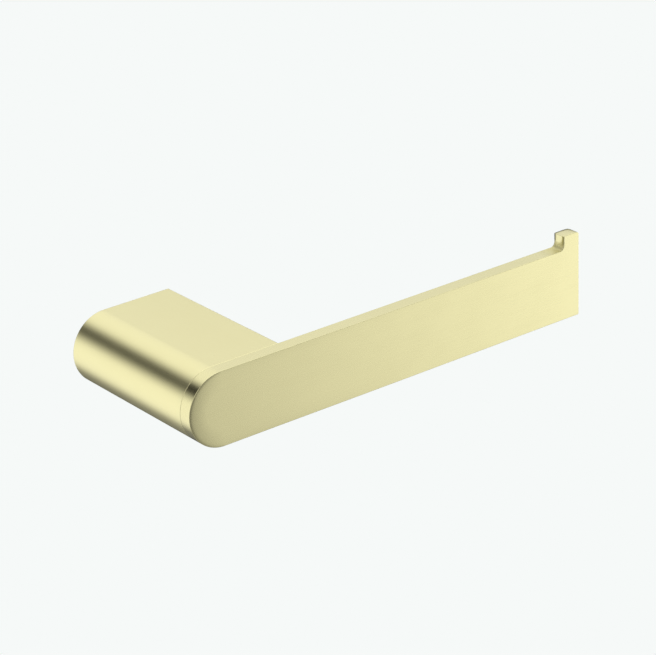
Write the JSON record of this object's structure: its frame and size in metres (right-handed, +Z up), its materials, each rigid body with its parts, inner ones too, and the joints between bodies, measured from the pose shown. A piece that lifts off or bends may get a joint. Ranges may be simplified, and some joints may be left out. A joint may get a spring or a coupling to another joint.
{
  "type": "toilet paper holder",
  "caption": "Wall-mounted open-arm toilet paper holder: a D-section post over a hidden wall bracket carries a flat bar with an upturned tip.",
  "frame": {"origin": "midway between the wall bracket's two screw slots, on the wall plane", "axes": "+X along the bar towards its tip, +Y into the wall, +Z up"},
  "size_m": [0.1786, 0.0721, 0.0336],
  "materials": {
    "post_finish": "pale brushed gold, satin",
    "bar_finish": "pale brushed gold, satin",
    "bracket_metal": "zinc-plated, matt",
    "dark_screw_steel": "black oxide, satin",
    "stainless_steel": "machined stainless steel",
    "spring_steel": "zinc-plated spring steel",
    "ground_pin_steel": "ground bright steel"
  },
  "bodies": {
    "wall_bracket": {"wall_bracket": "bracket_metal"},
    "post": {"post_shell": "post_finish", "flat_bar": "bar_finish", "bar_screw_1": "stainless_steel", "bar_screw_2": "stainless_steel", "spring_washer_1": "spring_steel", "spring_washer_2": "spring_steel", "flat_washer_1": "stainless_steel", "flat_washer_2": "stainless_steel", "dowel_pin_1": "ground_pin_steel", "dowel_pin_2": "ground_pin_steel"},
    "grub_screw": {"grub_screw": "dark_screw_steel"}
  },
  "joints": [
    {"name": "post_slide", "type": "slide", "parent": "wall_bracket", "child": "post", "axis": [0, -1, 0], "range_m": [0, 0.02]},
    {"name": "grub_slide", "type": "slide", "parent": "post", "child": "grub_screw", "axis": [0, 0, -1], "range_m": [0, 0.0035]}
  ]
}
